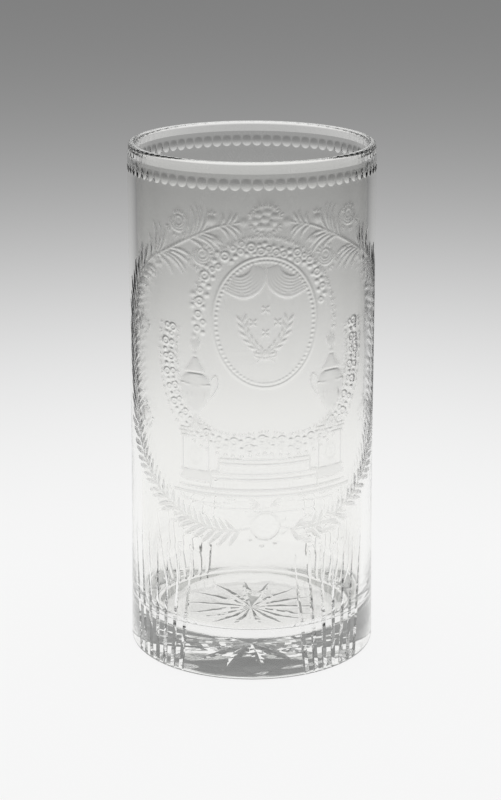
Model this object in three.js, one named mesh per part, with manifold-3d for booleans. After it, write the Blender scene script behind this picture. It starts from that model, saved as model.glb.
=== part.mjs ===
// Tall cylindrical drinking beaker of clear cut glass, blown and ground from a single piece.
// Millimetres, +Z up. The origin is the centre of the flat ring that the beaker stands on.
import * as THREE from "three";
import { mergeVertices } from "three/addons/utils/BufferGeometryUtils.js";
import Module from "manifold-3d";

const wasm = await Module();
wasm.setup();

// The blown body
const HEIGHT = 145;
const BODY_RADIUS = 34.2;
const WALL = 2.45;
const FLOOR_HEIGHT = 10.9;
const FLOOR_DOME = 1.4;
const INNER_ROUNDING = 9;

// The foot: the wall flares a little towards a rounded lower edge
const FOOT_FLARE = 0.75;
const FLARE_HEIGHT = 72.5;
const FLARE_POWER = 1.5;
const FOOT_ROUNDING = 1.4;

// The hollow under the base, inside the flat ring that the beaker stands on
const HOLLOW_RADIUS = 31;
const HOLLOW_DEPTH = 1.2;
const HOLLOW_POWER = 1.5;

// The rim: a ground bevel outside, a flat lip on top with softened edges
const BEVEL_WIDTH = 0.55;
const BEVEL_HEIGHT = 2.8;
const LIP_ROUNDING = 0.3;

// The band of ball cuts below the rim
const BEAD_BELOW_RIM = 5.35;
const BEAD_PITCH = 2.98;
const BEAD_WIDTH = 2.8;
const BEAD_HEIGHT = 3.6;
const BEAD_DEPTH = 0.25;

// The sheaves of mitre flutes that rise from the foot
const SHEAVES = 4;
const SHEAF_TURN = THREE.MathUtils.degToRad(-4.4);
const FLUTES_PER_SHEAF = 7;
const FLUTE_PITCH = 2.95;
const FLUTE_LENGTH = 36;
const FLUTE_WIDTH = 1.7;
const FLUTE_DEPTH = 0.5;
const FLUTE_LEAN = THREE.MathUtils.degToRad(2.1);

// The star under the base: each mitre cut runs right across and makes two rays
const STAR_RAYS = 16;
const STAR_TURN = SHEAF_TURN;
const STAR_RADIUS = 21;
const STAR_CUT_WIDTH = 2.6;
const STAR_CUT_DEPTH = 0.75;

// How finely round forms are divided
const FACETS_PER_BEAD = 1;
const FLARE_STEPS = 5;
const ROUNDING_STEPS = 4;
const INNER_ROUNDING_STEPS = 6;
const FLOOR_STEPS = 3;
const HOLLOW_STEPS = 4;
const BEAD_SIDES = 10;
const BEAD_STEPS = 3;
const MITRE_SIDES = 4;
const MITRE_STEPS = 6;

const beadCount = Math.round((2 * Math.PI * BODY_RADIUS) / BEAD_PITCH);
const sides = beadCount * FACETS_PER_BEAD;
const innerRadius = BODY_RADIUS - WALL;
const rimRadius = BODY_RADIUS - BEVEL_WIDTH;
const footRadius = BODY_RADIUS + FOOT_FLARE;

function outerRadius(z) {
  const fade = Math.max(0, 1 - z / FLARE_HEIGHT);
  return BODY_RADIUS + FOOT_FLARE * fade ** FLARE_POWER;
}

function hollowHeight(r) {
  return HOLLOW_DEPTH * (1 - (r / HOLLOW_RADIUS) ** HOLLOW_POWER);
}

// Points of an arc in the profile plane, both ends included; angles in quarter turns
function arc(centreR, centreZ, radius, startQuarter, endQuarter, steps) {
  const points = [];
  for (let i = 0; i <= steps; i += 1) {
    const quarter = startQuarter + ((endQuarter - startQuarter) * i) / steps;
    const angle = (quarter * Math.PI) / 2;
    points.push(new THREE.Vector2(centreR + radius * Math.cos(angle), centreZ + radius * Math.sin(angle)));
  }
  return points;
}

// Where a line from one point to another is, a given length before it ends
function pointBefore(from, to, length) {
  return to.clone().sub(from).setLength(-length).add(to);
}

function outsideProfile() {
  const points = [];
  for (let i = 0; i <= HOLLOW_STEPS; i += 1) {
    const r = (HOLLOW_RADIUS * i) / HOLLOW_STEPS;
    points.push(new THREE.Vector2(r, hollowHeight(r)));
  }
  const footCentre = outerRadius(FOOT_ROUNDING) - FOOT_ROUNDING;
  points.push(...arc(footCentre, FOOT_ROUNDING, FOOT_ROUNDING, -1, 0, ROUNDING_STEPS));
  for (let i = 1; i <= FLARE_STEPS; i += 1) {
    const z = FOOT_ROUNDING + ((FLARE_HEIGHT - FOOT_ROUNDING) * i) / FLARE_STEPS;
    points.push(new THREE.Vector2(outerRadius(z), z));
  }
  const bevelFoot = new THREE.Vector2(BODY_RADIUS, HEIGHT - BEVEL_HEIGHT);
  const bevelTop = new THREE.Vector2(rimRadius, HEIGHT);
  const lipCentre = new THREE.Vector2(rimRadius - LIP_ROUNDING, HEIGHT);
  points.push(bevelFoot);
  points.push(pointBefore(bevelFoot, bevelTop, LIP_ROUNDING));
  points.push(lipCentre);
  return points;
}

// The floor is domed, and the rounding round it sweeps on until it meets the dome without a crease
function insideProfile() {
  const points = [new THREE.Vector2(innerRadius + LIP_ROUNDING, HEIGHT)];
  points.push(new THREE.Vector2(innerRadius, HEIGHT - LIP_ROUNDING));
  const roundingR = innerRadius - INNER_ROUNDING;
  const lean = Math.atan((2 * FLOOR_DOME) / roundingR);
  const domeRadius = roundingR - INNER_ROUNDING * Math.sin(lean);
  const domeHeight = (r) => FLOOR_HEIGHT - FLOOR_DOME * (r / roundingR) ** 2;
  const roundingZ = domeHeight(domeRadius) + INNER_ROUNDING * Math.cos(lean);
  const endQuarter = -1 - lean / (Math.PI / 2);
  points.push(...arc(roundingR, roundingZ, INNER_ROUNDING, 0, endQuarter, INNER_ROUNDING_STEPS));
  for (let i = FLOOR_STEPS - 1; i >= 0; i -= 1) {
    const r = (domeRadius * i) / FLOOR_STEPS;
    points.push(new THREE.Vector2(r, domeHeight(r)));
  }
  return points;
}

// A closed mesh with its vertices shared and its collapsed triangles left out
function toSolid(geometry) {
  const bare = geometry.clone();
  bare.deleteAttribute("normal");
  bare.deleteAttribute("uv");
  const merged = mergeVertices(bare, 1e-5);
  const index = merged.index.array;
  const triangles = [];
  for (let i = 0; i < index.length; i += 3) {
    const [a, b, c] = index.slice(i, i + 3);
    if (a !== b && b !== c && c !== a) {
      triangles.push(a, b, c);
    }
  }
  const vertProperties = new Float32Array(merged.attributes.position.array);
  const triVerts = new Uint32Array(triangles);
  return new wasm.Manifold(new wasm.Mesh({ numProp: 3, vertProperties, triVerts }));
}

function toGeometry(solid) {
  const mesh = solid.getMesh();
  const geometry = new THREE.BufferGeometry();
  geometry.setAttribute("position", new THREE.BufferAttribute(mesh.vertProperties, 3));
  geometry.setIndex(new THREE.BufferAttribute(mesh.triVerts, 1));
  const faceted = geometry.toNonIndexed();
  faceted.computeVertexNormals();
  return faceted;
}

function blownBody() {
  const body = new THREE.LatheGeometry([...outsideProfile(), ...insideProfile()], sides);
  return body.rotateX(Math.PI / 2);
}

// A shallow dish with its axis along +X, sunk to the bead's depth below x = 0, where it has
// the bead's width and height; its rim stands clear of the glass by as much again
function beadCutter() {
  const half = BEAD_WIDTH / 2;
  const ballRadius = (half ** 2 + BEAD_DEPTH ** 2) / (2 * BEAD_DEPTH);
  const rimAngle = Math.acos((ballRadius - 2 * BEAD_DEPTH) / ballRadius);
  const points = [];
  for (let i = 0; i <= BEAD_STEPS; i += 1) {
    const angle = (rimAngle * i) / BEAD_STEPS;
    const x = ballRadius * Math.sin(angle);
    points.push(new THREE.Vector2(x, ballRadius * (1 - Math.cos(angle)) - BEAD_DEPTH));
  }
  points.push(new THREE.Vector2(0, BEAD_DEPTH));
  const dish = new THREE.LatheGeometry(points, BEAD_SIDES);
  dish.rotateY(Math.PI / BEAD_SIDES);
  dish.rotateZ(-Math.PI / 2);
  return dish.scale(1, 1, BEAD_HEIGHT / BEAD_WIDTH);
}

// A spindle of diamond section along Z, pointed at both ends, as a mitre wheel leaves it:
// its deepest place is at z = 0, with its cutting edges along -X and +X
function mitreCutter(halfLength, width, depth) {
  const points = [];
  for (let i = 0; i <= MITRE_STEPS; i += 1) {
    const along = (2 * i) / MITRE_STEPS - 1;
    points.push(new THREE.Vector2(1 - along ** 2, along * halfLength));
  }
  const spindle = new THREE.LatheGeometry(points, MITRE_SIDES);
  spindle.rotateX(Math.PI / 2);
  return spindle.scale(depth, width / 2, 1);
}

function cutBeads(solid) {
  const facetMiddle = BODY_RADIUS * Math.cos(Math.PI / sides);
  let cut = solid;
  for (let i = 0; i < beadCount; i += 1) {
    const bead = beadCutter();
    bead.translate(facetMiddle, 0, HEIGHT - BEAD_BELOW_RIM);
    bead.rotateZ((2 * Math.PI * (i + 0.5)) / beadCount);
    cut = cut.subtract(toSolid(bead));
  }
  return cut;
}

function cutFlutes(solid) {
  const slope = Math.atan((footRadius - outerRadius(FLUTE_LENGTH)) / FLUTE_LENGTH);
  const middle = FLUTE_LENGTH / 2;
  const middleRadius = (footRadius + outerRadius(FLUTE_LENGTH)) / 2;
  let cut = solid;
  for (let sheaf = 0; sheaf < SHEAVES; sheaf += 1) {
    const sheafAngle = SHEAF_TURN + (2 * Math.PI * (sheaf + 0.5)) / SHEAVES;
    for (let i = 0; i < FLUTES_PER_SHEAF; i += 1) {
      const fromMiddle = i - (FLUTES_PER_SHEAF - 1) / 2;
      const lean = fromMiddle * FLUTE_LEAN;
      const sideways = fromMiddle * FLUTE_PITCH + middle * Math.tan(lean);
      const flute = mitreCutter(FLUTE_LENGTH, FLUTE_WIDTH, FLUTE_DEPTH);
      flute.translate(0, 0, -middle);
      flute.rotateX(-lean);
      flute.rotateY(-slope);
      flute.translate(middleRadius, 0, middle);
      flute.rotateZ(sheafAngle + sideways / footRadius);
      cut = cut.subtract(toSolid(flute));
    }
  }
  return cut;
}

// The cutters lie level at the height where the rays' points meet the hollow, so they are deeper
// and wider than their cuts by as much as the hollow's middle stands higher
function cutStar(solid) {
  const level = hollowHeight(STAR_RADIUS);
  const depth = hollowHeight(0) - level + STAR_CUT_DEPTH;
  const width = (STAR_CUT_WIDTH * depth) / STAR_CUT_DEPTH;
  let cut = solid;
  for (let i = 0; i < STAR_RAYS / 2; i += 1) {
    const mitre = mitreCutter(STAR_RADIUS, width, depth);
    mitre.rotateY(Math.PI / 2);
    mitre.rotateZ(STAR_TURN + (2 * Math.PI * (i + 0.5)) / STAR_RAYS);
    mitre.translate(0, 0, level);
    cut = cut.subtract(toSolid(mitre));
  }
  return cut;
}

function beaker() {
  const cutGlass = cutStar(cutFlutes(cutBeads(toSolid(blownBody()))));
  const clearGlass = new THREE.MeshStandardMaterial({
    color: 0xeef0ee,
    roughness: 0.04,
    metalness: 0,
    transparent: true,
    opacity: 0.35,
  });
  const mesh = new THREE.Mesh(toGeometry(cutGlass), clearGlass);
  mesh.name = "beaker_body";
  return mesh;
}

const part = new THREE.Group();
part.add(beaker());

export default part;
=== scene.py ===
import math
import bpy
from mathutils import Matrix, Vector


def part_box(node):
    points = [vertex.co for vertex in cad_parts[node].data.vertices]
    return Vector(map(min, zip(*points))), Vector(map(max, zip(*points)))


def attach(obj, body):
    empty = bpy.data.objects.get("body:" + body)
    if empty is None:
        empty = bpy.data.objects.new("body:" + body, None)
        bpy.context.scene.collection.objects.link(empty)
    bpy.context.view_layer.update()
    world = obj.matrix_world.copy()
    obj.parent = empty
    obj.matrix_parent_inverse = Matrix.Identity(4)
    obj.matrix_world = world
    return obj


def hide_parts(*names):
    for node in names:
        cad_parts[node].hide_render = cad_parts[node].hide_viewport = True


bl_info = {
    "name": "Cut and Engraved Glass Beaker",
    "version": (1, 0, 0),
    "blender": (4, 5, 0),
    "location": "View3D > Sidebar > Beaker",
    "description": "Builds a wheel-cut and engraved drinking beaker, its glass and a plain studio",
    "category": "Object",
}

import bmesh
import bpy
import numpy as np

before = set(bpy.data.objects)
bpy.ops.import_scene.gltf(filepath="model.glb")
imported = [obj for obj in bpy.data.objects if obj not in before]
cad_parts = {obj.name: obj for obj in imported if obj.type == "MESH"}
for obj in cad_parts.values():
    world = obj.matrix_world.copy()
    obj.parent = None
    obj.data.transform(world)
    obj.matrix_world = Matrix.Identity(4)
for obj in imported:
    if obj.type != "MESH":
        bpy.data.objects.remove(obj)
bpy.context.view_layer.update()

# The solid model gives the place, the height and the foot's width
BODY_NODE = "beaker_body"
BODY_LOW, BODY_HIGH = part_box(BODY_NODE)
HEIGHT = BODY_HIGH[2] - BODY_LOW[2]
FOOT_RADIUS = (BODY_HIGH[0] - BODY_LOW[0]) / 2

MM = 0.001
GLASS_PIECE = "beaker_glass"
MATT_ATTRIBUTE = "matt"
HAND_SEED = 1805

# Two lengths closer than a hair are the same, and the tiny value keeps a division from failing
HAIR = 1e-6
TINY = 1e-9

# The grid: squares round the wall, how often the cut bands halve them, and how much taller they are inside
BODY_COLUMNS = 108
FINE_LEVELS = 3
FINE_COLUMN = 2 * math.pi / BODY_COLUMNS / 2**FINE_LEVELS
PLAIN_COARSENESS = 4

# Steps of the profile's round corners, and how close two points are merged
FOOT_STEPS = 6
LIP_STEPS = 8
CORNER_STEPS = 18
MERGE_WITHIN = 0.005 * MM


def length(name, default, description):
    return bpy.props.FloatProperty(
        name=name, description=description, default=default, subtype="DISTANCE", unit="LENGTH"
    )


def angle(name, degrees, description):
    return bpy.props.FloatProperty(
        name=name, description=description, default=math.radians(degrees), subtype="ANGLE"
    )


def number(name, default, description):
    return bpy.props.FloatProperty(name=name, description=description, default=default)


def fraction(name, default, description):
    return bpy.props.FloatProperty(
        name=name, description=description, default=default, min=0, max=1, subtype="FACTOR"
    )


def count(name, default, description):
    return bpy.props.IntProperty(name=name, description=description, default=default)


class BodySizes(bpy.types.PropertyGroup):
    foot_flare: length("Foot flare", 0.75 * MM, "How much wider the foot's radius is than the wall's")
    flare_height: length("Flare height", 72.5 * MM, "How far up the flare reaches")
    foot_rounding: length("Foot rounding", 1.4 * MM, "Radius of the lower outside edge")
    wall: length("Wall", 2.45 * MM, "Thickness of the straight wall")
    floor_height: length("Floor height", 10.9 * MM, "Height of the floor's middle above the table")
    floor_dome: length("Floor dome", 1.4 * MM, "How far the floor drops from its middle to its rounding")
    inner_rounding: length("Inner rounding", 9.0 * MM, "Radius between the floor and the wall inside")
    hollow_radius: length("Hollow radius", 31.0 * MM, "Inside of the flat ring that the beaker stands on")
    hollow_depth: length("Hollow depth", 1.2 * MM, "How far the underside's middle stands off the table")
    ripple: length("Ripple", 0.02 * MM, "How uneven the blown floor is inside")
    bevel_width: length("Bevel width", 0.3 * MM, "How far the rim's bevel takes the radius in")
    bevel_height: length("Bevel height", 3.05 * MM, "How far down the rim's bevel reaches")
    lip_outside: length("Lip outside", 0.8 * MM, "How far the lip's round reaches down on the outside")
    lip_inside: length("Lip inside", 0.9 * MM, "How far the lip's round reaches down on the inside")


class CutSizes(bpy.types.PropertyGroup):
    beads: count("Beads", 72, "Ball cuts in the band under the rim")
    bead_below_rim: length("Bead band", 5.85 * MM, "How far the band's middle lies below the rim")
    bead_width: length("Bead width", 2.9 * MM, "Width of one ball cut")
    bead_height: length("Bead height", 3.1 * MM, "Height of one ball cut")
    bead_depth: length("Bead depth", 0.22 * MM, "Depth of one ball cut")
    sheaves: count("Sheaves", 4, "Groups of flutes round the foot")
    sheaf_turn: angle("Sheaf turn", -4.4, "How far the sheaves stand off the engraved front")
    flutes: count("Flutes", 7, "Flutes in one sheaf")
    flute_pitch: length("Flute pitch", 2.95 * MM, "Distance between flutes at the foot")
    flute_length: length("Flute length", 36.0 * MM, "Height at which a flute runs out")
    flute_width: length("Flute width", 1.7 * MM, "Width of a flute at the foot")
    flute_depth: length("Flute depth", 0.5 * MM, "Depth of a flute at the foot")
    flute_lean: angle("Flute lean", 2.1, "How much more each flute leans than the one before it")
    star_rays: count("Star rays", 16, "Rays of the star under the base")
    star_turn: angle("Star turn", -4.4, "How far the star stands off the engraved front")
    star_radius: length("Star radius", 21.0 * MM, "How far the star's rays reach")
    star_width: length("Star cut width", 3.6 * MM, "Width of a ray where the rays cross")
    star_depth: length("Star cut depth", 0.5 * MM, "Depth of the star where the rays cross")


class GlassLook(bpy.types.PropertyGroup):
    tint: bpy.props.FloatVectorProperty(
        name="Tint",
        description="Colour that the wall takes on",
        default=(0.975, 0.974, 0.962),
        subtype="COLOR",
        size=3,
    )
    ior: number("IOR", 1.51, "How strongly the glass bends light")
    matt_roughness: fraction("Matt", 0.4, "Roughness of the engraving")
    clear_roughness: fraction("Clear", 0.0, "Roughness of the polish")


class StudioLook(bpy.types.PropertyGroup):
    # The floor's near level, far shares and fades paint a pool of light: brightest by the beaker, fading
    # away behind and in front
    near_level: number("Near", 0.94, "Level of the floor by the beaker")
    far_share: fraction("Far share", 0.213, "Share of that level left far behind it")
    far_share_before: fraction("Far share in front", 0.04, "Share of that level left far in front of it")
    fade_behind: length("Fade behind", 470.0 * MM, "Where behind the beaker the floor has half faded")
    fade_behind_power: number("Fade power behind", 2.75, "How suddenly it fades")
    fade_before: length("Fade in front", 304.0 * MM, "Where in front of it the floor has half faded")
    fade_before_power: number("Fade power in front", 6.0, "How suddenly it fades")
    ground_gap: length("Ground gap", 0.1 * MM, "Air between the base and the floor")
    shadow_share: fraction("Shadow", 0.06, "Share of the floor that takes shadow")
    sky_low: number("Low backdrop", 0.28, "Level of the room at the horizon")
    sky_high: number("High backdrop", 0.2, "Level of the room overhead")
    room_share: number("Dark side", 0.35, "Share of the room's level in front")
    room_above: number("Light side", 3.0, "Share of it high up in front")
    camera_distance: length("Camera distance", 580.1 * MM, "Camera in front of the beaker's axis")
    camera_height: length("Camera height", 245.6 * MM, "Camera above the floor")
    camera_side: length("Camera side", -0.4 * MM, "Camera beside the beaker's axis")
    camera_pitch: angle("Camera pitch", 16.76, "How far the camera looks down")
    camera_lens: number("Lens", 96.3, "Focal length in millimetres")


# How suddenly the foot's flare and the hollow under the base set in
FLARE_POWER = 1.5
HOLLOW_POWER = 1.5

# The star's disc under the base, and the strip that joins it to the turned body
STAR_EDGE = 22.0 * MM
STAR_STRIP = 0.5 * MM


def body_radius(sizes):
    return FOOT_RADIUS - sizes.foot_flare


def flared_radius(z, sizes):
    fade = np.clip(1 - np.asarray(z) / sizes.flare_height, 0, None)
    return body_radius(sizes) + sizes.foot_flare * fade**FLARE_POWER


def hollow_height(r, sizes):
    return sizes.hollow_depth * (1 - (r / sizes.hollow_radius) ** HOLLOW_POWER)


def lip_half(sizes):
    """Half the lip's thickness above the bevel."""
    return (sizes.wall - sizes.bevel_width) / 2


def bevel_foot(sizes):
    return HEIGHT - sizes.bevel_height


def signed_turn(turn):
    """The same angle, at most half a turn either way."""
    return (turn + math.pi) % (2 * math.pi) - math.pi


def arc(centre_r, centre_z, radius, start, end, steps, tall=1.0):
    """Points of an arc in the profile plane; start and end in degrees from +R towards +Z."""
    angles = np.radians(np.linspace(start, end, steps + 1))
    return [(centre_r + radius * math.cos(a), centre_z + tall * radius * math.sin(a)) for a in angles]


def rows(low, high, spacing):
    """Evenly spaced values from one end to the other, both included."""
    return list(np.linspace(low, high, max(2, round(abs(high - low) / spacing) + 1)))


def outside_profile(sizes, spacing):
    """From beyond the star round the foot and up to the lip."""
    rounding = sizes.foot_rounding
    centre = float(flared_radius(rounding, sizes)) - rounding
    under = rows(STAR_EDGE + STAR_STRIP, sizes.hollow_radius, spacing)
    points = [(r, hollow_height(r, sizes)) for r in under]
    points += [(centre, 0.0)]
    points += arc(centre, rounding, rounding, -90, 0, FOOT_STEPS)[1:]
    wall = rows(rounding, bevel_foot(sizes), spacing)[1:]
    points += [(float(flared_radius(z, sizes)), z) for z in wall]
    rim = body_radius(sizes) - sizes.bevel_width
    half = lip_half(sizes)
    points += arc(rim - half, HEIGHT - sizes.lip_outside, half, 0, 90, LIP_STEPS, sizes.lip_outside / half)
    return points


def inside_profile(sizes, spacing):
    """From the lip down the inner wall and across the floor to its middle."""
    inner = body_radius(sizes) - sizes.wall
    half = lip_half(sizes)
    lip_foot = HEIGHT - sizes.lip_inside
    points = arc(inner + half, lip_foot, half, 90, 180, LIP_STEPS, sizes.lip_inside / half)
    rounding = sizes.inner_rounding
    flat = inner - rounding

    def dome(r):
        return sizes.floor_height - sizes.floor_dome * (r / flat) ** 2

    lean = math.atan(2 * sizes.floor_dome / flat)
    dome_edge = flat - rounding * math.sin(lean)
    corner = dome(dome_edge) + rounding * math.cos(lean)
    points += [(inner, z) for z in rows(lip_foot, corner, PLAIN_COARSENESS * spacing)[1:-1]]
    points += arc(flat, corner, rounding, 0, -90 - math.degrees(lean), CORNER_STEPS)
    points += [(r, dome(r)) for r in rows(dome_edge, 0.0, spacing)[1:]]
    return points


def spin_round(bm, profile, columns):
    """A surface of revolution from a line of points in the XZ plane."""
    verts = [bm.verts.new((r, 0.0, z)) for r, z in profile]
    edges = [bm.edges.new(pair) for pair in zip(verts, verts[1:])]
    bmesh.ops.spin(
        bm,
        geom=verts + edges,
        cent=(0, 0, 0),
        axis=(0, 0, 1),
        dvec=(0, 0, 0),
        angle=2 * math.pi,
        steps=columns,
        use_merge=True,
        use_duplicate=False,
    )
    bmesh.ops.remove_doubles(bm, verts=bm.verts, dist=MERGE_WITHIN)


def places(points):
    """Angle from the front, distance from the axis and height of each point."""
    points = np.array(points).reshape(-1, 3)
    turn = np.arctan2(points[:, 0], -points[:, 1])
    return turn, np.hypot(points[:, 0], points[:, 1]), points[:, 2]


def face_places(bm):
    return places([f.calc_center_median() for f in bm.faces])


def move_to(bm, turn, r, z):
    for v, t, radius, height in zip(bm.verts, turn, r, z):
        v.co = (radius * math.sin(t), -radius * math.cos(t), height)


# The largest slope of an edge that counts as level
LEVEL_SLOPE = 0.25


def split_faces(bm, chosen, across_only=False):
    """Split the chosen four-sided faces in four, or only side by side."""
    faces = [f for f, pick in zip(bm.faces, chosen) if pick and len(f.verts) == 4]
    edges = list(dict.fromkeys(e for f in faces for e in f.edges))
    if across_only:
        edges = [e for e in edges if abs(e.verts[0].co.z - e.verts[1].co.z) < LEVEL_SLOPE * e.calc_length()]
    if edges:
        bmesh.ops.subdivide_edges(bm, edges=edges, cuts=1, use_grid_fill=True)


def outer_wall(r, z, sizes):
    """Which places lie on the outside wall between the foot's rounding and the bevel."""
    straight = (z > sizes.foot_rounding - HAIR) & (z < bevel_foot(sizes) + HAIR)
    return straight & (r > flared_radius(z, sizes) - 0.5 * sizes.wall)


# How far a bead strays from the others in size, and how much deeper it is below its middle than above
BEAD_UNEVEN = 0.03
BEAD_LEAN = 0.15

# A bead's edge is sharp up to here, from -1 at its foot to 1 at its top
BEAD_SHARP_TO = 0.2

# How much of the wall above and below the beads is split with them, and how many fine rows may hold them
BEAD_MARGIN = 0.25 * MM
BEAD_SPARE_ROWS = 1.2


def settle_beads(turn, z, on_wall, sizes, cuts, row):
    """Move the bead band's grid so that one ring of its lines runs round each bead.

    Returns the places, the depth of each and which lie on a bead's sharp edge.
    """
    step = 2 * math.pi / cuts.beads
    half = round(step / FINE_COLUMN) // 2
    band = HEIGHT - cuts.bead_below_rim
    near = on_wall & (np.abs(z - band) < cuts.bead_height / 2 + BEAD_SPARE_ROWS * row)
    heights = np.unique(np.round(z[near], 6))
    middle = heights[np.argmin(np.abs(heights - band))]

    # Each bead takes a square of the grid, whose places go from -1 to 1 across it and up it
    bead = np.floor(turn / step)
    across = np.round((turn / step - bead - 0.5) * 2 * half) / (half - 1)
    up = np.round((z - middle) / row) / round(cuts.bead_height / 2 / row)
    inside = near & (np.abs(across) <= 1) & (np.abs(up) <= 1)

    # The square is drawn in to a round, its outline onto the bead's edge
    x = across * np.sqrt(np.clip(1 - up**2 / 2, 0, None))
    y = up * np.sqrt(np.clip(1 - across**2 / 2, 0, None))
    uneven = 1 + np.random.default_rng(HAND_SEED).normal(0, BEAD_UNEVEN, (cuts.beads, 2))
    index = bead.astype(int) % cuts.beads
    new_turn = (bead + 0.5) * step + x * cuts.bead_width / 2 / body_radius(sizes)
    turn = np.where(inside, new_turn, turn)
    z = np.where(inside, band + y * cuts.bead_height / 2 * uneven[index, 0], z)
    dish = (1 - x**2 - y**2) * (1 - BEAD_LEAN * y)
    depth = np.where(inside, cuts.bead_depth * uneven[index, 1] * dish, 0)
    edge = inside & (np.maximum(np.abs(across), np.abs(up)) > 1 - HAIR) & (up < BEAD_SHARP_TO)
    return turn, z, np.clip(depth, 0, None), edge


# Grid lines from one flute to the next, and those that one side of a flute takes up
FLUTE_LINES = 12
FLUTE_SIDE = 3

# Over how many flutes beyond a sheaf, and what share of its length above it, the grid goes back upright
FLUTE_BLEND = 3.0
FLUTE_FADE = 0.6

# A flute's least share of its full width, and of its depth where its creases end
FLUTE_THINNEST = 0.05
FLUTE_TIP = 0.02
ON_LINE = 0.1

# Half of the stretch round the foot whose columns are split for a sheaf
SHEAF_HALF = math.radians(18.4)


def sheaf_middles(cuts):
    return [cuts.sheaf_turn + 2 * math.pi * (k + 0.5) / cuts.sheaves for k in range(cuts.sheaves)]


def settle_flutes(turn, z, on_wall, cuts):
    """Lean the foot's grid so that its lines run along each flute's bottom and edges.

    Returns the angles, the depth of each place and a number for the crease it lies on, or 0.
    """
    depth = np.zeros_like(turn)
    crease = np.zeros(len(turn), int)
    upright = FLUTE_LINES * FINE_COLUMN * FOOT_RADIUS
    height = np.clip(z, 0, cuts.flute_length)
    fade = np.clip(1 - (z - cuts.flute_length) / (FLUTE_FADE * cuts.flute_length), 0, 1)
    pitch = upright + fade * (cuts.flute_pitch - upright + height * math.tan(cuts.flute_lean))
    run_out = np.clip(1 - (z / cuts.flute_length) ** 2, 0, 1)
    width = cuts.flute_width * np.maximum(run_out, FLUTE_THINNEST)
    slope = 2 * cuts.flute_depth / cuts.flute_width
    outermost = cuts.flutes // 2
    low_enough = on_wall & (z < (1 + FLUTE_FADE) * cuts.flute_length)
    for sheaf, middle in enumerate(sheaf_middles(cuts)):
        # Places are counted in flutes from the sheaf's middle, and in grid lines from a flute's bottom
        line = round(middle / FINE_COLUMN) * FINE_COLUMN
        flutes_off = signed_turn(turn - line) / FINE_COLUMN / FLUTE_LINES
        flute = np.clip(np.round(flutes_off), -outermost, outermost)
        lines_off = (flutes_off - flute) * FLUTE_LINES

        # Inside the sheaf the lines spread over the flute's sides and over what lies between two flutes
        inner = np.minimum(np.abs(lines_off), FLUTE_SIDE) / FLUTE_SIDE * width / 2
        past_side = np.clip(np.abs(lines_off) - FLUTE_SIDE, 0, None) / (FLUTE_LINES / 2 - FLUTE_SIDE)
        outer = past_side * (pitch - width) / 2
        x = flute * pitch + np.sign(lines_off) * (inner + outer)

        # Beyond it they lean less and less
        beyond = np.abs(flutes_off) - cuts.flutes / 2
        blend = np.clip(1 - beyond / FLUTE_BLEND, 0, 1)
        edge = np.sign(flutes_off) * cuts.flutes / 2
        nominal = flutes_off * upright
        leaned = edge * pitch + (flutes_off - edge) * upright
        x = np.where(beyond > 0, nominal + (leaned - nominal) * blend, x)
        here = low_enough & (beyond < FLUTE_BLEND)
        turn = np.where(here, (middle - line) * blend + line + x / FOOT_RADIUS, turn)

        cut = np.clip(cuts.flute_depth * run_out - inner * slope, 0, None)
        depth = np.maximum(depth, np.where(here & (np.abs(lines_off) < FLUTE_SIDE), cut, 0))
        creased = here & (run_out > FLUTE_TIP)
        first_crease = 1 + 3 * (flute + outermost + cuts.flutes * sheaf)
        for k, away in enumerate((lines_off, lines_off - FLUTE_SIDE, lines_off + FLUTE_SIDE)):
            crease = np.where(creased & (np.abs(away) < ON_LINE), first_crease + k, crease)
    return turn, depth, crease


# Rows and lines of the star's disc, and those that one side of a ray takes up
STAR_ROW = 1.2 * MM
STAR_LINES = 12
RAY_SIDE = 4

# What the hand makes uneven in a ray: its reach, its edges' wave, its width and its turn
RAY_REACH_UNEVEN = 0.06
RAY_WAVE = 0.16
RAY_WAVE_LENGTH = 0.62 * MM
RAY_WIDTH_UNEVEN = 0.1
RAY_TURN_UNEVEN = 0.015
RAY_WIDEST = 0.9


def star_disc(bm, cuts):
    """The middle of the underside, its grid turned so that its lines follow the star's cuts."""
    columns = cuts.star_rays * STAR_LINES
    spin_round(bm, [(r, 0.0) for r in rows(0.0, STAR_EDGE, STAR_ROW)], columns)
    step = 2 * math.pi / columns
    half = STAR_LINES // 2
    widest = math.pi / cuts.star_rays
    uneven = np.random.default_rng(HAND_SEED).uniform(-1, 1, (cuts.star_rays, 4))
    for v in bm.verts:
        r = math.hypot(v.co.x, v.co.y)
        if r < HAIR:
            v.co.z = cuts.star_depth
            continue
        line = round(math.atan2(v.co.y, v.co.x) / step)
        ray = math.floor(line / STAR_LINES)
        lines_off = line - ray * STAR_LINES - half
        hand = uneven[ray % cuts.star_rays]
        run_out = max(1 - (r / (cuts.star_radius * (1 + RAY_REACH_UNEVEN * hand[0]))) ** 2, 0.0)
        wave = RAY_WAVE * math.sin(r / RAY_WAVE_LENGTH + 3 * hand[1]) * math.copysign(1, lines_off + 0.5)
        width = cuts.star_width * (1 + wave + RAY_WIDTH_UNEVEN * hand[2])
        edge = min(math.atan(width * run_out / 2 / r), RAY_WIDEST * widest)
        if abs(lines_off) <= RAY_SIDE:
            aside = abs(lines_off) / RAY_SIDE * edge
        else:
            aside = edge + (abs(lines_off) - RAY_SIDE) / (half - RAY_SIDE) * (widest - edge)
        middle = cuts.star_turn + (ray + 0.5) * 2 * widest
        turn = middle + math.copysign(aside, lines_off) + RAY_TURN_UNEVEN * hand[3]
        depth = cuts.star_depth * (run_out - math.sin(aside) * r / (width / 2))
        v.co = (r * math.cos(turn), r * math.sin(turn), max(depth, 0.0))
    for f in bm.faces:
        f.smooth = False


# The underside's places lie below this, the floor's from below to above its middle by these
UNDERSIDE_BELOW = 2.5 * MM
FLOOR_BELOW = 2.5 * MM
FLOOR_ABOVE = 6.0 * MM

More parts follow.
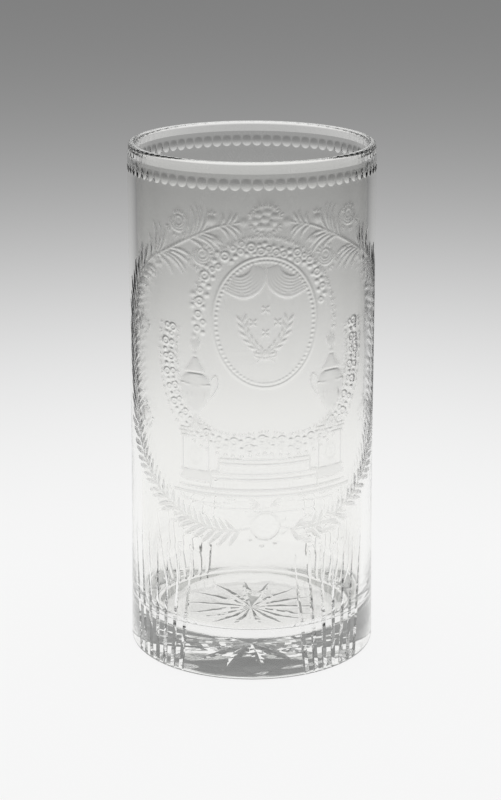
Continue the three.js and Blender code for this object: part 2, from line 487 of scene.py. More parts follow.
# The blown floor's ripples: how many waves, how long, and how suddenly they end at the rounding
RIPPLES = 7
RIPPLE_LENGTH = 0.9 * MM
RIPPLE_POWER = 4


def hollow_out(bm, sizes):
    """Lift the star's disc inside the ring that the beaker stands on."""
    for v in bm.verts:
        r = math.hypot(v.co.x, v.co.y)
        if v.co.z < UNDERSIDE_BELOW and r < STAR_EDGE + 0.1 * MM:
            v.co.z += hollow_height(r, sizes)


def ripple_floor(bm, sizes):
    """Make the blown floor inside slightly uneven, fading out towards its rounding."""
    waves = np.random.default_rng(HAND_SEED).uniform(-1, 1, (RIPPLES, 3))
    reach = body_radius(sizes) - sizes.wall
    low = sizes.floor_height - FLOOR_BELOW
    high = sizes.floor_height + FLOOR_ABOVE
    for v in bm.verts:
        r = math.hypot(v.co.x, v.co.y)
        if low < v.co.z < high and r < reach - 1 * MM:
            lift = 0.0
            for a, b, phase in waves:
                lift += math.sin((v.co.x * a + v.co.y * b) / RIPPLE_LENGTH + 3 * phase)
            v.co.z += sizes.ripple * lift * (1 - (r / reach) ** RIPPLE_POWER)


# From here on the engraving's places and sizes are in millimetres along the unrolled wall

# How matt each kind of cut is left, from the polish to the matt roughness
STROKE_MATT = 1.0
RING_MATT = 0.6
DISH_MATT = 0.25
BODY_MATT = 0.8

# How suddenly a stroke swells from its ends
TAPER_POWER = 0.6

# The stretch of the wall that the relief covers, its cells, and the depth from which one counts as cut
RELIEF_HALF = 56.0
RELIEF_LOW = 38.0
RELIEF_HIGH = 137.0
RELIEF_CELL = 0.1
CUT_FROM = 0.002


class Relief:
    """How deep the engraver's wheel has gone over the unrolled wall, and how matt it left it."""

    def __init__(self):
        self.cell = RELIEF_CELL
        self.left = -RELIEF_HALF
        self.low = RELIEF_LOW
        self.depth = np.zeros(
            (round((RELIEF_HIGH - RELIEF_LOW) / RELIEF_CELL), round(2 * RELIEF_HALF / RELIEF_CELL))
        )
        self.matt = np.zeros_like(self.depth)

    def window(self, left, right, low, high):
        """The part of the grid between these sides, and its cells' places."""
        tall, wide = self.depth.shape
        c0 = max(int((left - self.left) / self.cell), 0)
        c1 = min(int((right - self.left) / self.cell) + 2, wide)
        r0 = max(int((low - self.low) / self.cell), 0)
        r1 = min(int((high - self.low) / self.cell) + 2, tall)
        u = self.left + (np.arange(c0, c1) + 0.5) * self.cell
        v = self.low + (np.arange(r0, r1) + 0.5) * self.cell
        return (slice(r0, r1), slice(c0, c1)), u[None, :], v[:, None]

    def around(self, centre, wide, tall):
        """The window round a place, and its cells' places from there."""
        window, u, v = self.window(centre[0] - wide, centre[0] + wide, centre[1] - tall, centre[1] + tall)
        return window, u - centre[0], v - centre[1]

    def press(self, window, depth, matt):
        """Cut deeper where this cut is the deeper one."""
        view = self.depth[window]
        deeper = depth > view
        self.matt[window][deeper] = matt
        np.maximum(view, depth, out=view)

    def stroke(self, points, width, depth, swell=0.4, blunt=0.0):
        """A cut along a smooth line. It is widest at the swell and thins out to both ends."""
        line = smooth_line(points)
        steps = np.hypot(*np.diff(line, axis=0).T)
        along = np.concatenate([[0], np.cumsum(steps)]) / steps.sum()
        taper = np.where(along < swell, along / swell, (1 - along) / (1 - swell))
        taper = blunt + (1 - blunt) * np.clip(taper, 0, 1) ** TAPER_POWER
        reach = width / 2
        for a, b, wa, wb in zip(line, line[1:], taper, taper[1:]):
            lows = np.minimum(a, b) - reach
            highs = np.maximum(a, b) + reach
            window, u, v = self.window(lows[0], highs[0], lows[1], highs[1])
            du, dv = b - a
            t = np.clip(((u - a[0]) * du + (v - a[1]) * dv) / max(du**2 + dv**2, TINY), 0, 1)
            away = (u - a[0] - t * du) ** 2 + (v - a[1] - t * dv) ** 2
            share = wa + (wb - wa) * t
            self.press(window, depth * share * (1 - away / (reach * share + TINY) ** 2), STROKE_MATT)

    def ball(self, centre, radius, depth, tall=1.0):
        """A dish, as a round wheel leaves it."""
        reach = radius * max(tall, 1.0)
        window, x, y = self.around(centre, reach, reach)
        self.press(window, depth * (1 - (x**2 + (y / tall) ** 2) / radius**2), DISH_MATT)

    def ring(self, centre, radius, width, depth, tall=1.0):
        window, x, y = self.around(centre, radius + width, radius * tall + width)
        away = (np.hypot(x, y / tall) - radius) / (width / 2)
        self.press(window, depth * (1 - away**2), RING_MATT)

    def turned(self, centre, profile, depth):
        """A broad round body, given by its half width at rising heights."""
        heights, widths = zip(*profile)
        reach = max(widths)
        window, u, v = self.window(centre - reach, centre + reach, heights[0], heights[-1])
        half = np.interp(v, heights, widths)
        inside = (v >= heights[0]) & (v <= heights[-1])
        self.press(window, np.where(inside, depth * (1 - ((u - centre) / half) ** 2), 0), BODY_MATT)

    def sample(self, u, v, layer=None):
        """The depth, or another layer, at each place between the cells."""
        layer = self.depth if layer is None else layer
        tall, wide = layer.shape
        x = np.clip((u - self.left) / self.cell - 0.5, 0, wide - 1 - HAIR)
        y = np.clip((v - self.low) / self.cell - 0.5, 0, tall - 1 - HAIR)
        x0 = x.astype(int)
        y0 = y.astype(int)
        fx = x - x0
        fy = y - y0
        low = layer[y0, x0] * (1 - fx) + layer[y0, x0 + 1] * fx
        high = layer[y0 + 1, x0] * (1 - fx) + layer[y0 + 1, x0 + 1] * fx
        return low * (1 - fy) + high * fy

    def busy(self, u, v, reach):
        """Whether anything is cut within the reach of each place."""
        tall, wide = self.depth.shape
        total = np.zeros((tall + 1, wide + 1))
        total[1:, 1:] = np.cumsum(np.cumsum(self.depth > CUT_FROM, axis=0), axis=1)

        def cell(place, start, more, limit):
            return np.clip(((place - start) / self.cell).astype(int) + more, 0, limit)

        x0 = cell(u - reach, self.left, 0, wide)
        x1 = cell(u + reach, self.left, 1, wide)
        y0 = cell(v - reach, self.low, 0, tall)
        y1 = cell(v + reach, self.low, 1, tall)
        return total[y1, x1] - total[y0, x1] - total[y1, x0] + total[y0, x0] > 0


def smooth_line(points, spacing=0.3):
    """A smooth line through the points, as evenly short straight lines."""
    points = np.array(points, float)
    padded = np.vstack([2 * points[0] - points[1], points, 2 * points[-1] - points[-2]])
    line = []
    for p0, p1, p2, p3 in zip(padded, padded[1:], padded[2:], padded[3:]):
        pieces = max(2, int(math.dist(p1, p2) / spacing))
        t = np.linspace(0, 1, pieces, endpoint=False)[:, None]
        bend = 2 * p0 - 5 * p1 + 4 * p2 - p3
        twist = 3 * p1 - p0 - 3 * p2 + p3
        line.append(0.5 * (2 * p1 + (p2 - p0) * t + bend * t**2 + twist * t**3))
    line.append(points[-1:])
    return np.vstack(line)


def heading_at(line, k):
    across, up = line[k + 1] - line[k]
    return math.atan2(up, across)


def placed(points, centre=0.0, side=1):
    """The points set beside a centre line, or mirrored there where the side is -1."""
    return [(centre + side * u, v) for u, v in points]


def on_oval(centre, turn, wide, tall=None):
    """The place at an angle on a circle, or on an oval of another height."""
    tall = wide if tall is None else tall
    return centre[0] + wide * math.cos(turn), centre[1] + tall * math.sin(turn)


class Stem:
    """A smooth line with places measured along it, and how it heads there."""

    def __init__(self, points):
        self.line = smooth_line(points, 0.5)
        self.along = np.concatenate([[0], np.cumsum(np.hypot(*np.diff(self.line, axis=0).T))])
        self.length = self.along[-1]

    def at(self, distance):
        k = min(int(np.searchsorted(self.along, distance)), len(self.line) - 2)
        return tuple(self.line[k]), heading_at(self.line, k)

    def nearest(self, u, v):
        return self.along[np.argmin(np.hypot(self.line[:, 0] - u, self.line[:, 1] - v))]


# A flower under this radius is cut as a plain berry
BERRY_UNDER = 0.82

# Straight pieces of a leaf, and how much later than evenly it bends
LEAF_STEPS = 5
LEAF_BEND_POWER = 1.2


class Engraver:
    """A hand that draws the ornament's motifs on the relief, never twice quite alike."""

    def __init__(self, relief, seed):
        self.relief = relief
        self.random = np.random.default_rng(seed)

    def shake(self, amount):
        return float(self.random.normal(0, amount))

    def rose(self, centre, radius, turn):
        """An open rose: a heart, petals that lap round one side of it and a frill on the other."""
        self.relief.ball(centre, 0.34 * radius, 0.09)
        self.relief.ring(centre, 0.5 * radius, 0.26 * radius, 0.11)
        for reach, sweep in ((0.76, 1.9), (1.02, 1.3)):
            petals = [on_oval(centre, turn + t * sweep, reach * radius) for t in np.linspace(-1, 1, 7)]
            self.relief.stroke(petals, 0.27 * radius, 0.13, swell=0.5, blunt=0.4)
        for k in range(6):
            a = turn + math.pi + (k - 2.5) * 0.36 + self.shake(0.05)
            foot = on_oval(centre, a, 0.66 * radius)
            self.leaf(foot, a, 0.56 * radius, self.shake(0.3), 0.24 * radius, 0.1)

    def flower(self, centre, radius, force=1.0):
        """A small round flower with a seed in it, or a plain berry."""
        if radius < BERRY_UNDER:
            self.relief.ball(centre, radius, 0.24 * force * radius, 0.95)
            return
        self.relief.ring(centre, 0.7 * radius, 0.55 * radius, 0.17 * force)
        self.relief.ball(centre, 0.35 * radius, 0.13 * force)

    def leaf(self, foot, heading, size, curl, width=0.95, depth=0.14):
        """One curved stroke; curl turns it as it goes."""
        points = [foot]
        u, v = foot
        for k in range(LEAF_STEPS):
            bend = heading + curl * ((k + 0.5) / LEAF_STEPS) ** LEAF_BEND_POWER
            u += size / LEAF_STEPS * math.cos(bend)
            v += size / LEAF_STEPS * math.sin(bend)
            points.append((u, v))
        self.relief.stroke(points, width, depth, swell=0.5, blunt=0.15)

    def spray(self, stem, start, side, strokes, size, lean=0.4, curl=1.2, width=0.95, depth=0.16, step=1.2):
        """A leaf of parallel strokes that leave the stem forwards and curl outwards."""
        for k in range(strokes):
            foot, heading = stem.at(start + step * k)
            share = k / max(strokes - 1, 1)
            long = size * (0.55 + 0.45 * math.sin(math.pi * (0.2 + 0.6 * share))) * (1 + self.shake(0.04))
            open_out = side * (lean + 0.18 * (1 - share) + self.shake(0.03))
            self.leaf(foot, heading + open_out, long, side * curl * (1 - 0.25 * share), width, depth)

    def tuft(self, foot, heading, strokes, size, spread, width=0.6, depth=0.1):
        """A fan of straight small strokes."""
        for k in range(strokes):
            share = (k - (strokes - 1) / 2) / max((strokes - 1) / 2, 1)
            turned = heading + share * spread + self.shake(0.06)
            start = (foot[0] - 0.3 * share * math.sin(heading), foot[1] + 0.3 * share * math.cos(heading))
            self.leaf(start, turned, size * (1 - 0.2 * abs(share)), share * 0.4, width, depth)


# The wreath's left stem, from the ring at the bottom to the flower at the top
BRANCH = (
    (-4.2, 45.0), (-10.0, 44.0), (-16.9, 44.8), (-22.0, 46.6), (-26.8, 49.2), (-31.8, 52.6), (-35.8, 56.4),
    (-39.5, 61.0), (-42.1, 66.5), (-43.8, 72.5), (-44.8, 79.0), (-45.6, 87.0), (-45.7, 95.0), (-43.8, 104.5),
    (-39.6, 112.6), (-34.5, 117.2), (-29.2, 119.9), (-23.0, 123.2), (-17.5, 125.9), (-12.5, 128.0),
    (-6.6, 129.3),
)

# Where the laurel's single leaves end, and where the spears of three strokes do
LAUREL_END = (-42.1, 66.5)
SPEARS_END = (-40.0, 112.0)

# Leaves outside and inside the stem; a leaf of one stroke has no step
LAUREL_OUTSIDE = {"lean": 0.5, "curl": 0.3, "width": 1.3, "depth": 0.26}
LAUREL_INSIDE = {"lean": 0.5, "curl": 0.6, "width": 1.2, "depth": 0.22}
SPEARS_OUTSIDE = {"lean": 0.5, "curl": -0.1, "width": 1.35, "depth": 0.24, "step": 2.1}
SPEARS_INSIDE = {"lean": 0.6, "curl": 0.9, "width": 1.15, "depth": 0.2, "step": 1.9}

# Feet of the upper leaves: where on the stem, to its outside or inside, how many strokes and how long
UPPER_LEAVES = (
    (-12.0, 128.2, 1, 3, 4.6), (-12.5, 128.0, -1, 3, 5.6), (-22.4, 123.5, 1, 5, 9.6),
    (-21.0, 124.1, -1, 4, 8.6), (-35.0, 116.9, 1, 4, 9.6), (-32.2, 118.5, -1, 5, 10.2),
    (-40.2, 112.0, -1, 3, 7.4), (-42.9, 106.6, -1, 3, 6.4),
)


def engrave_branch(hand, side):
    """One half of the wreath: laurel below, spears at the side and loose sprays above."""
    stem = Stem(placed(BRANCH, side=-side))
    hand.relief.stroke(stem.line[::4], 0.85, 0.15, swell=0.3, blunt=0.6)
    laurel_end = stem.nearest(-side * LAUREL_END[0], LAUREL_END[1])
    distance = 2.5
    while distance < laurel_end:
        size = 7.2 + 0.8 * distance / laurel_end
        hand.spray(stem, distance, -side, 1, size, **LAUREL_OUTSIDE)
        hand.spray(stem, distance + 1.1, side, 1, 0.75 * size, **LAUREL_INSIDE)
        distance += 2.25 + hand.shake(0.1)
    spears_end = stem.nearest(-side * SPEARS_END[0], SPEARS_END[1])
    while distance < spears_end:
        hand.spray(stem, distance, -side, 3, 8.0, **SPEARS_OUTSIDE)
        hand.spray(stem, distance + 1.0, side, 3, 6.4, **SPEARS_INSIDE)
        distance += 6.0 + hand.shake(0.3)
    for u, v, way, strokes, size in UPPER_LEAVES:
        hand.spray(stem, stem.nearest(-side * u, v), -way * side, strokes, size)


# Berries of the flower at the top and the directions of the tufts round it
TOP_FLOWER = (0, 130.0)
TOP_BERRIES = (
    (-2.0, 131.5), (0.4, 132.0), (2.4, 130.9), (-2.5, 129.7),
    (-0.2, 130.2), (2.0, 129.3), (-1.3, 128.2), (0.9, 128.1),
)
TOP_TUFTS = (100, 80, 130, 50, 160, 20, 215, 325, 250, 290)

# Roses and buds of one half of the wreath: place, radius and, for a rose, which way its frill faces
WREATH_ROSES = (
    (-25.0, 129.0, 2.6, 4.5), (-17.3, 119.9, 2.7, 4.3), (-38.4, 98.3, 2.5, 2.6), (-37.2, 71.8, 2.8, 2.4),
)
WREATH_BUDS = ((-14.6, 129.6, 1.6), (-13.3, 124.3, 1.5), (-5.7, 129.4, 1.3))
BERRY_FLOWER = (-31.6, 117.3)
BOTTOM_RING = (0, 45.6)


def engrave_wreath(hand):
    """Both branches, their roses and buds, the flower at the top and the ring at the bottom."""
    relief = hand.relief
    for side in (1, -1):
        engrave_branch(hand, side)
    for side in (1, -1):
        for u, v, size, turn in WREATH_ROSES:
            centre = (-side * u + hand.shake(0.3), v + hand.shake(0.3))
            facing = math.pi - turn if side > 0 else turn
            hand.rose(centre, size, facing + hand.shake(0.2))
            for k in (-1, 0, 1):
                a = facing + 0.75 * k
                hand.tuft(on_oval(centre, a, size * 1.25), a, 3, 2.0, 0.3, 0.55, 0.09)
        for u, v, size in WREATH_BUDS:
            relief.ball((-side * u, v), size, 0.1 * size, 0.9)
        hand.tuft((side * 14.2, 131.0), math.pi / 2, 3, 1.5, 0.6)
        centre = (-side * BERRY_FLOWER[0], BERRY_FLOWER[1])
        for k in range(6):
            relief.ball(on_oval(centre, math.radians(60 * k + 10), 1.45), 0.75, 0.14)
        relief.ball(centre, 0.65, 0.08)
    for centre in TOP_BERRIES:
        relief.ball(centre, 1.25, 0.17, 0.82)
    for degrees in TOP_TUFTS:
        a = math.radians(degrees)
        hand.tuft(on_oval(TOP_FLOWER, a, 3.5, 3.0), a, 3, 1.7, 0.4)
    relief.ring(BOTTOM_RING, 3.8, 0.9, 0.2)
    berries = 9
    for k in range(berries):
        relief.ball(on_oval(BOTTOM_RING, 2 * math.pi * (k + 0.5) / berries, 5.3), 1.0, 0.2)


# The oval frame: its middle, half width and height over width, and the line of its beads
OVAL = (0.1, 102.3)
OVAL_WIDE = 14.4
OVAL_TALL = 17.8 / 14.4
OVAL_BEADS = 78
BEAD_LINE = (13.35, 16.7)

# The first and the last fold of one half of the curtain, from its gathering to the frame
FIRST_FOLD = ((3.3, 117.9), (4.3, 115.8), (6.2, 114.6), (7.9, 114.6), (9.0, 115.1))
LAST_FOLD = ((0.4, 116.9), (0.8, 112.9), (3.2, 110.3), (6.6, 109.4), (11.5, 111.2))
FOLDS = 7


def engrave_medallion(hand):
    """The beaded oval frame with a gathered curtain at its top."""
    relief = hand.relief
    relief.ring(OVAL, OVAL_WIDE, 0.8, 0.14, OVAL_TALL)
    for k in range(OVAL_BEADS):
        relief.ball(on_oval(OVAL, 2 * math.pi * k / OVAL_BEADS, *BEAD_LINE), 0.58, 0.13, 0.8)
    first = np.array(FIRST_FOLD)
    last = np.array(LAST_FOLD)
    for side in (1, -1):
        for k in range(FOLDS):
            fold = first + k / (FOLDS - 1) * (last - first)
            relief.stroke(placed(fold, OVAL[0], side), 1.3, 0.18, swell=0.5, blunt=0.35)
        for k in range(3):
            tassel = ((0.3 + 0.5 * k, 117.6), (0.2 + 0.25 * k, 112.6 + 0.4 * k))
            relief.stroke(placed(tassel, OVAL[0], side), 0.55, 0.07)


# Flowers of the garland over the frame: place and radius
GARLAND_FLOWERS = (
    (-19.6, 97.8, 0.8), (-17.0, 99.0, 0.8), (-18.8, 100.0, 1.0), (-17.0, 101.8, 0.9), (-19.6, 102.0, 0.8),
    (-18.4, 103.9, 1.2), (-16.9, 106.0, 0.8), (-20.0, 106.3, 0.8), (-18.0, 107.6, 1.4), (-15.8, 109.4, 0.8),
    (-19.9, 109.4, 0.8), (-17.8, 110.6, 1.0), (-15.2, 111.8, 0.8), (-16.8, 112.6, 0.8), (-16.4, 114.6, 1.6),
    (-14.0, 114.2, 0.7), (-14.2, 116.4, 0.9), (-12.6, 117.3, 0.9), (-13.6, 118.9, 0.8), (-15.8, 117.2, 0.8),
    (-10.8, 120.2, 1.5), (-12.9, 121.0, 0.7), (-9.0, 118.9, 0.7), (-7.9, 120.2, 0.8), (-8.6, 122.4, 0.9),
    (-6.6, 121.6, 0.95), (-6.3, 123.5, 0.95), (-4.9, 120.9, 0.8), (-3.8, 122.7, 1.45), (-3.0, 120.9, 0.7),
    (-1.2, 121.6, 1.2), (-1.6, 123.3, 0.7), (-0.2, 123.7, 0.75), (0.8, 122.2, 0.95), (1.0, 120.9, 0.7),
    (2.8, 121.2, 1.15), (2.2, 122.9, 0.7), (4.9, 120.7, 0.95), (4.4, 122.3, 0.7), (6.4, 121.6, 0.8),
    (6.6, 119.8, 0.8), (8.6, 120.9, 1.25), (8.7, 118.8, 1.0), (10.6, 119.9, 0.85), (10.6, 118.0, 0.8),
    (12.2, 118.7, 1.0), (12.2, 116.8, 0.8), (13.8, 117.2, 0.8), (14.5, 115.1, 1.3), (13.0, 114.7, 0.7),
    (15.9, 113.2, 0.8), (14.4, 112.6, 0.8), (16.2, 111.2, 0.9), (15.0, 110.2, 0.8), (16.9, 109.0, 0.8),
    (15.8, 107.4, 0.9),
)

# The oval line of small leaves outside that garland, and how many it has
GARLAND_LEAVES = 33
LEAF_LINE = (18.6, 22.2)

# One half of the festoon below, and how its flowers' sizes follow one another
FESTOON = ((27.3, 101.0), (28.2, 93.0), (27.0, 83.5), (23.6, 76.0), (17.0, 70.4), (8.5, 68.3), (-0.9, 69.3))
FESTOON_SIZE = 1.35
FLOWER_SHARES = (1.0, 0.62, 0.72, 0.56)


def engrave_festoon(hand, stem, size):
    """Flowers strung in two touching rows on a line, with small leaves outside them."""
    distance = size
    k = 0
    while distance < stem.length - 0.3 * size:
        (u, v), heading = stem.at(distance)
        across = (-math.sin(heading), math.cos(heading))
        for way, first in ((1, 0), (-1, 2)):
            radius = size * FLOWER_SHARES[(k + first) % len(FLOWER_SHARES)] * (1 + hand.shake(0.05))
            away = way * 0.72 * size + hand.shake(0.12)
            hand.flower((u + across[0] * away, v + across[1] * away), radius, 1.4)
            foot = (u + way * across[0] * size * 1.75, v + way * across[1] * size * 1.75)
            hand.tuft(foot, heading + way * math.pi / 2 + hand.shake(0.25), 2, 1.5, 0.5)
        distance += 1.55 * size * (1 + hand.shake(0.05))
        k += 1


def engrave_garlands(hand):
    """The garland over the oval frame and the festoon that hangs below it."""
    for u, v, radius in GARLAND_FLOWERS:
        hand.flower((u, v), radius)
    for k in range(GARLAND_LEAVES):
        a = math.radians(16 + 5.4 * (k - 4))
        reach = 1 + 0.05 * math.cos(a + 0.6) ** 2
        foot = on_oval(OVAL, a, reach * LEAF_LINE[0], reach * LEAF_LINE[1])
        hand.tuft(foot, a + hand.shake(0.2), 3, 1.7, 0.35)
    for side in (1, -1):
        engrave_festoon(hand, Stem(placed(FESTOON, side=side)), FESTOON_SIZE)


# Half widths of the urn and its pedestal at rising heights
URN_AT = 19.4
URN_FOOT = ((72.2, 3.0), (73.4, 2.9), (73.8, 1.1), (75.6, 0.7), (76.6, 1.4))
URN_BOWL = ((76.6, 1.5), (78.5, 3.2), (81.5, 4.5), (84.4, 4.9), (86.4, 4.2), (87.6, 2.6))
URN_LID = ((87.8, 3.3), (88.6, 3.4), (89.8, 2.2), (91.2, 1.1), (92.0, 0.8))
URN_HANDLE = ((4.4, 85.8), (6.0, 87.4), (6.6, 84.8), (5.2, 82.0), (4.4, 81.2))
PEDESTAL_FOOT = ((57.5, 5.6), (59.0, 5.6), (59.1, 4.6), (60.0, 4.4))
PEDESTAL_EDGES = ((60.2, 4.4), (69.9, 4.4), (71.0, 5.0), (72.0, 4.6))


def engrave_urn(hand, centre):
    """A covered vase with a flame, on a square pedestal."""
    relief = hand.relief
    relief.turned(centre, URN_FOOT, 0.16)
    relief.turned(centre, URN_BOWL, 0.34)
    relief.turned(centre, URN_LID, 0.2)
    relief.ball((centre, 92.8), 0.8, 0.18)
    for k in range(-2, 3):
        rib = ((0.5 * 1.05 * k, 77.2), (1.15 * 1.05 * k, 80.0), (1.3 * 1.05 * k, 83.2))
        relief.stroke(placed(rib, centre), 0.6, 0.42, swell=0.7)
    band = ((-4.4, 84.6), (0, 84.1), (4.4, 84.6))
    relief.stroke(placed(band, centre), 0.45, 0.42, blunt=0.8)
    for side in (1, -1):
        relief.stroke(placed(URN_HANDLE, centre, side), 0.6, 0.11, blunt=0.6)
    for k in range(-2, 3):
        lean = 0.32 * k
        curl = math.copysign(0.25, centre) - 1.1 * lean
        hand.leaf((centre, 93.6), math.pi / 2 + lean, 5.2 - 0.6 * abs(k), curl, 0.8, 0.11)
    relief.turned(centre, PEDESTAL_FOOT, 0.12)
    for side in (1, -1):
        relief.stroke(placed(((3.9, 60.2), (3.9, 69.8)), centre, side), 0.7, 0.14, blunt=0.8)
    for v, half in PEDESTAL_EDGES:
        relief.stroke(placed(((-half, v), (half, v)), centre), 0.8, 0.16, blunt=0.85)
    relief.ring((centre, 64.6), 1.7, 0.5, 0.1, 1.3)
    relief.ball((centre, 64.6), 0.9, 0.16, 1.3)


# Edges of the steps: height, half length and width of the line
STEPS = (
    (64.2, 12.6, 0.9), (62.9, 12.9, 0.7), (60.2, 14.6, 0.9),
    (58.6, 15.0, 0.7), (55.6, 24.5, 0.9), (54.0, 26.5, 0.7),
)
STEP_SIDE = ((12.6, 64.2), (12.9, 61.0), (14.8, 60.2), (15.0, 56.0))

# Lines of the ground, with height, left and right end, and where grass grows on it
GROUND_LINES = ((51.6, -25, -8), (50.4, -19, 4), (51.9, 6, 26), (49.4, -9, 16))
GRASS_HEIGHT = 52.2
GRASS = (-28.5, -23.0, -16.0, -9.5, 10.0, 16.5, 22.5, 28.0)


def engrave_ground(hand):
    """Steps under the frame, and the grass they stand on."""
    relief = hand.relief
    for v, half, width in STEPS:
        relief.stroke([(-half, v + 0.15), (0, v), (half, v + 0.15)], width, 0.17, blunt=0.7)
    for k in range(-6, 7):
        relief.ball((k * 1.95, 61.6), 0.6, 0.1)
    for side in (1, -1):
        relief.stroke(placed(STEP_SIDE, side=side), 0.7, 0.13, blunt=0.8)
    for v, left, right in GROUND_LINES:
        relief.stroke([(left, v + 0.5), ((left + right) / 2, v), (right, v + 0.4)], 0.5, 0.06, blunt=0.3)
    for u in GRASS:
        foot = (u + hand.shake(0.6), GRASS_HEIGHT + hand.shake(0.5))
        hand.tuft(foot, math.pi / 2, 5, 2.6, 0.8, 0.42, 0.065)
    for side in (1, -1):
        for k in range(4):
            heading = math.pi / 2 - side * (0.5 + 0.28 * k)
            hand.leaf((side * 1.2, 51.0), heading, 4.4 - 0.5 * k, -side * 1.2, 0.6, 0.09)


# The emblem in the oval: one sprig's stem, one loop of the knot, and the four stars
SPRIG = ((-2.6, 91.5), (1.5, 94.6), (4.9, 98.8), (6.4, 104.2))
KNOT_LOOP = ((0, 93.4), (1.9, 94.9), (2.8, 93.2), (0, 92.8))
STARS = ((0, 106.0), (-3.3, 102.4), (3.3, 102.4), (0, 99.6))


def engrave_emblem(hand):
    """Two crossed sprigs with a knot and four small stars in the middle of the oval."""
    for side in (1, -1):
        stem = placed(SPRIG, side=side)
        hand.relief.stroke(stem, 0.6, 0.1, blunt=0.4)
        line = smooth_line(stem, 0.4)
        for k in range(4, len(line) - 1, 5):
            for way in (1, -1):
                hand.leaf(tuple(line[k]), heading_at(line, k) + way * 0.7, 2.9, -way * 0.5)
    hand.relief.ball((0, 93.6), 0.7, 0.12)
    for side in (1, -1):
        hand.relief.stroke(placed(KNOT_LOOP, side=side), 0.6, 0.09, blunt=0.6)
    for star in STARS:
        for k in range(4):
            hand.leaf(star, math.pi / 4 + k * math.pi / 2, 1.5, 0, 0.7, 0.12)


def engraving():
    """The whole picture on the front."""
    relief = Relief()
    hand = Engraver(relief, HAND_SEED)
    engrave_wreath(hand)
    engrave_medallion(hand)
    engrave_garlands(hand)
    for side in (1, -1):
        engrave_urn(hand, side * URN_AT)
    engrave_ground(hand)
    engrave_emblem(hand)
    return relief


def add_node(tree, kind, inputs, **settings):
    """A shader node with its settings; each input gets a value or the socket that feeds it."""
    node = tree.nodes.new(kind)
    for name, value in settings.items():
        setattr(node, name, value)
    for socket, value in inputs.items():
        if hasattr(value, "links"):
            tree.links.new(value, node.inputs[socket])
        else:
            node.inputs[socket].default_value = value
    return node


def map_range(tree, value, between, onto, **settings):
    """The value carried from one range over to another, and held at its ends."""
    inputs = {"Value": value}
    inputs.update(zip(("From Min", "From Max", "To Min", "To Max"), between + onto))
    return add_node(tree, "ShaderNodeMapRange", inputs, **settings).outputs["Result"]


def glass_material(look):
    """Clear glass that turns matt where the wheel has left it so."""
    material = bpy.data.materials.new("cut_glass")
    material.use_nodes = True
    tree = material.node_tree
    shader = tree.nodes["Principled BSDF"]
    shader.inputs["Base Color"].default_value = (*look.tint, 1)
    shader.inputs["Transmission Weight"].default_value = 1
    shader.inputs["IOR"].default_value = look.ior
    matt = add_node(tree, "ShaderNodeAttribute", {}, attribute_name=MATT_ATTRIBUTE).outputs["Fac"]
    roughness = map_range(tree, matt, (0.0, 1.0), (look.clear_roughness, look.matt_roughness))
    tree.links.new(roughness, shader.inputs["Roughness"])
    return material


# Where on the turned body the engraving's middle lies
FRONT_TURN = math.radians(6.0)

# The heights between which the wall is pressed in, half the width of that, and where it turns matt
PRESSED_HEIGHTS = (37.0, 136.6)
PRESSED_HALF = 55.5
MATT_HEIGHTS = (38.0, 136.5)

# How far from a cut each round of splitting still splits the wall
SPLIT_MARGINS = (1.2, 0.2, 0.1)

# The least and the greatest area of a face that counts as a whole square, as shares of the square's
WHOLE_SQUARE = (0.5, 1.8)

# A square is split once more where it would miss this depth, and how that changes towards the sides
FINE_ERROR = 0.038
ERROR_PLACES = (15, 20, 36, 44)
ERROR_SHARES = (0.65, 1.1, 1.4, 3.5)

# The deepest place that counts as carved, and the depth at which a cut is as matt as its kind gets
CARVED_MOST = 1.0 * MM
MATT_FROM = 0.03 * MM

# How far inside the straight wall's radius a place still belongs to the foot's outside
FOOT_DEPTH = 1.4 * MM


def unroll(turn, sizes):
    """Millimetres along the wall from the engraving's middle."""
    return signed_turn(turn - FRONT_TURN) * body_radius(sizes) / MM


def between(z, heights):
    return (z > heights[0] * MM) & (z < heights[1] * MM)


def split_cut_bands(bm, sizes, cuts, row):
    """Make the grid finer round the bead band and in the sheaves at the foot."""
    band = HEIGHT - cuts.bead_below_rim
    for level in range(FINE_LEVELS):
        turn, r, z = face_places(bm)
        reach = cuts.bead_height / 2 + BEAD_MARGIN + row / 2 ** (level + 1)
        split_faces(bm, outer_wall(r, z, sizes) & (np.abs(z - band) < reach))
    for level in range(FINE_LEVELS):
        turn, r, z = face_places(bm)
        away = np.min([np.abs(signed_turn(turn - middle)) for middle in sheaf_middles(cuts)], axis=0)
        foot = (r > body_radius(sizes) - FOOT_DEPTH) & (z > 0) & (z < cuts.flute_length + 1 * MM)
        split_faces(bm, foot & (away < SHEAF_HALF), across_only=True)


